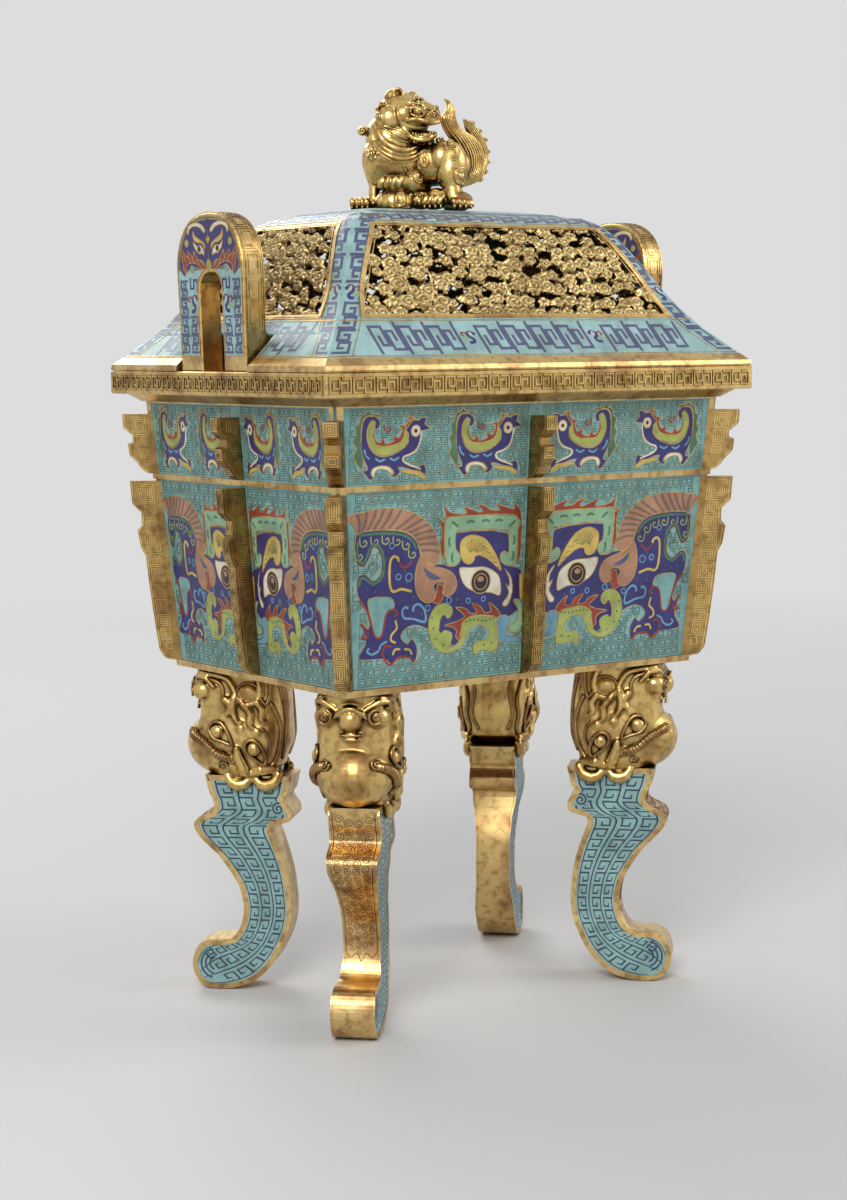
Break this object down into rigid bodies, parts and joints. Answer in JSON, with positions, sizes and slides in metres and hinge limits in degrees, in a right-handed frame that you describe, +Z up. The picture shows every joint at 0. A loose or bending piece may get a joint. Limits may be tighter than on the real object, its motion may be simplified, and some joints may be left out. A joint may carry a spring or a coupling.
{
  "type": "cloisonne incense burner",
  "caption": "Rectangular cloisonne incense burner on scrolled legs, with loop handles, flanges and a lift-off pierced cover topped by a lion.",
  "frame": {"origin": "on the floor, under the centre of the vessel", "axes": "+Z up; +X along the long side towards the right handle; -Y is the front"},
  "size_m": [0.4568, 0.3426, 0.7999],
  "materials": {
    "gilt": "fire-gilt cast bronze, worn and darkened in the recesses",
    "body_enamel": "polished turquoise cloisonne enamel, finely pitted",
    "cover_enamel": "polished pale turquoise cloisonne enamel",
    "leg_enamel": "polished turquoise cloisonne enamel",
    "copper": "brown patinated copper, hidden surfaces"
  },
  "bodies": {
    "vessel": {"ash_liner": "copper", "base_band": "gilt", "flange_lower_back": "gilt", "flange_lower_back_left": "gilt", "flange_lower_back_right": "gilt", "flange_lower_front": "gilt", "flange_lower_front_left": "gilt", "flange_lower_front_right": "gilt", "flange_lower_left": "gilt", "flange_lower_right": "gilt", "flange_upper_back": "gilt", "flange_upper_back_left": "gilt", "flange_upper_back_right": "gilt", "flange_upper_front": "gilt", "flange_upper_front_left": "gilt", "flange_upper_front_right": "gilt", "flange_upper_left": "gilt", "flange_upper_right": "gilt", "floor_plate": "copper", "handle_left": "gilt", "handle_right": "gilt", "leg_back_left_far_plate": "leg_enamel", "leg_back_left_near_plate": "leg_enamel", "leg_back_right_far_plate": "leg_enamel", "leg_back_right_near_plate": "leg_enamel", "leg_foot_back_left": "gilt", "leg_foot_back_right": "gilt", "leg_foot_front_left": "gilt", "leg_foot_front_right": "gilt", "leg_front_left_far_plate": "leg_enamel", "leg_front_left_near_plate": "leg_enamel", "leg_front_right_far_plate": "leg_enamel", "leg_front_right_near_plate": "leg_enamel", "leg_head_back_left": "gilt", "leg_head_back_right": "gilt", "leg_head_front_left": "gilt", "leg_head_front_right": "gilt", "leg_nut_back_left": "copper", "leg_nut_back_right": "copper", "leg_nut_front_left": "copper", "leg_nut_front_right": "copper", "mid_band": "gilt", "rim_frame": "gilt", "wall_back": "body_enamel", "wall_front": "body_enamel", "wall_left": "body_enamel", "wall_right": "body_enamel"},
    "cover": {"cover_lip": "gilt", "cover_shell": "cover_enamel", "finial_nut": "copper", "lion_finial": "gilt", "openwork_back": "gilt", "openwork_front": "gilt", "openwork_left": "gilt", "openwork_right": "gilt"}
  },
  "joints": [
    {"name": "cover_lift", "type": "slide", "parent": "vessel", "child": "cover", "axis": [0, 0, 1], "range_m": [0, 0.18]}
  ]
}
